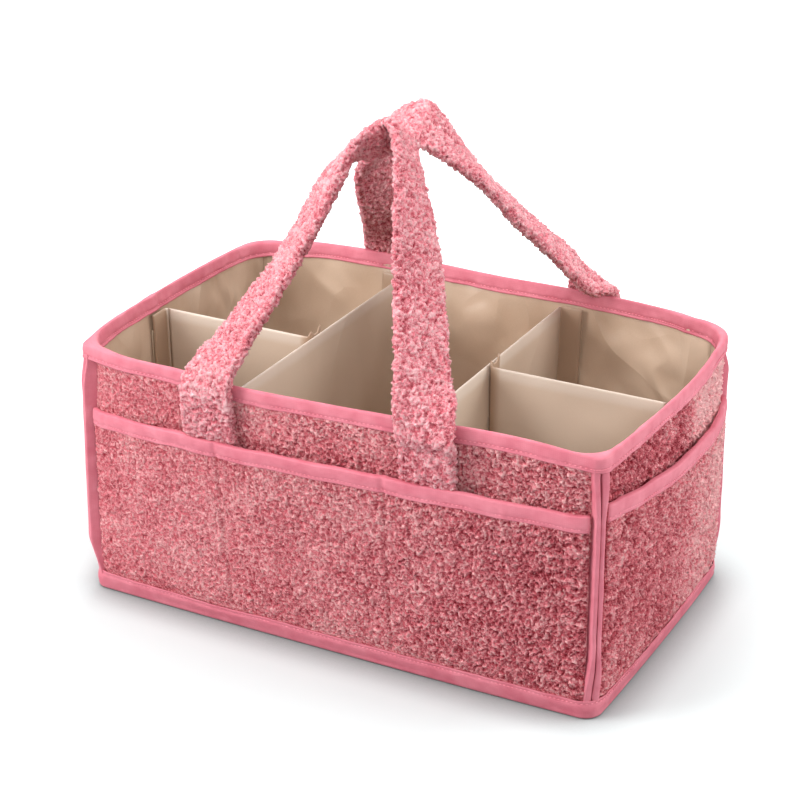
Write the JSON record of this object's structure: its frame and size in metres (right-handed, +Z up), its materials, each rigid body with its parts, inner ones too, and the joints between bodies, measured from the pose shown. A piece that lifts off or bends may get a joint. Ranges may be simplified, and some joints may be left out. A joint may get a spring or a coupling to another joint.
{
  "type": "plush diaper organizer bag",
  "caption": "Open rectangular plush caddy with bound edges, outside pockets, soft carrying straps and removable inner dividers.",
  "frame": {"origin": "centre of the footprint, on the surface the bag stands on", "axes": "+X along the long front towards its right end, +Y from the front to the back, +Z up"},
  "size_m": [0.403, 0.2632, 0.3381],
  "materials": {
    "plush": "curly pink plush",
    "binding": "smooth woven pink tape",
    "lining": "beige satin lining",
    "divider": "pale beige satin cloth",
    "stiffener": "stiff foam sheet",
    "hook": "hook side of touch fastener",
    "loop": "loop side of touch fastener"
  },
  "bodies": {
    "bag": {"front_plush_panel": "plush", "front_wall_board": "stiffener", "front_lining": "lining", "right_plush_panel": "plush", "right_wall_board": "stiffener", "right_lining": "lining", "back_plush_panel": "plush", "back_wall_board": "stiffener", "back_lining": "lining", "left_plush_panel": "plush", "left_wall_board": "stiffener", "left_lining": "lining", "base_underside_cloth": "plush", "base_board": "stiffener", "base_lining": "lining", "rim_binding": "binding", "base_binding": "binding", "front_left_corner_binding_long": "binding", "front_left_corner_binding_end": "binding", "front_right_corner_binding_long": "binding", "front_right_corner_binding_end": "binding", "back_right_corner_binding_long": "binding", "back_right_corner_binding_end": "binding", "back_left_corner_binding_long": "binding", "back_left_corner_binding_end": "binding", "front_pocket": "plush", "front_pocket_binding": "binding", "right_pocket": "plush", "right_pocket_binding": "binding", "back_pocket": "plush", "back_pocket_binding": "binding", "left_pocket": "plush", "left_pocket_binding": "binding", "front_strap_foot_left": "plush", "front_strap_foot_right": "plush", "back_strap_foot_left": "plush", "back_strap_foot_right": "plush", "left_cross_loop_strip_front": "loop", "left_cross_loop_strip_back": "loop", "left_wing_loop_strip": "loop", "right_cross_loop_strip_front": "loop", "right_cross_loop_strip_back": "loop", "right_wing_loop_strip": "loop"},
    "front_strap": {"front_strap_arch": "plush"},
    "back_strap": {"back_strap_arch": "plush"},
    "left_divider": {"left_cross_sleeve": "divider", "left_cross_board": "stiffener", "left_cross_hook_strip_front": "hook", "left_cross_hook_strip_back": "hook"},
    "left_wing": {"left_wing_sleeve": "divider", "left_wing_board": "stiffener", "left_wing_hook_strip": "hook"},
    "right_divider": {"right_cross_sleeve": "divider", "right_cross_board": "stiffener", "right_cross_hook_strip_front": "hook", "right_cross_hook_strip_back": "hook"},
    "right_wing": {"right_wing_sleeve": "divider", "right_wing_board": "stiffener", "right_wing_hook_strip": "hook"}
  },
  "joints": [
    {"name": "front_strap_swing", "type": "hinge", "parent": "bag", "child": "front_strap", "pos_m": [-0.006, -0.13173, 0.18245], "axis": [1, 0, 0], "range_deg": [0, 200]},
    {"name": "back_strap_swing", "type": "hinge", "parent": "bag", "child": "back_strap", "pos_m": [-0.006, 0.13173, 0.18245], "axis": [-1, 0, 0], "range_deg": [0, 200]},
    {"name": "left_divider_lift", "type": "slide", "parent": "bag", "child": "left_divider", "axis": [0, 0, 1], "range_m": [0, 0.01]},
    {"name": "left_wing_fold", "type": "hinge", "parent": "left_divider", "child": "left_wing", "pos_m": [-0.0691, -0.014, 0.09], "axis": [0, 0, 1], "range_deg": [0, 40]},
    {"name": "right_divider_lift", "type": "slide", "parent": "bag", "child": "right_divider", "axis": [0, 0, 1], "range_m": [0, 0.01]},
    {"name": "right_wing_fold", "type": "hinge", "parent": "right_divider", "child": "right_wing", "pos_m": [0.0601, -0.002, 0.09], "axis": [0, 0, -1], "range_deg": [0, 40]}
  ]
}
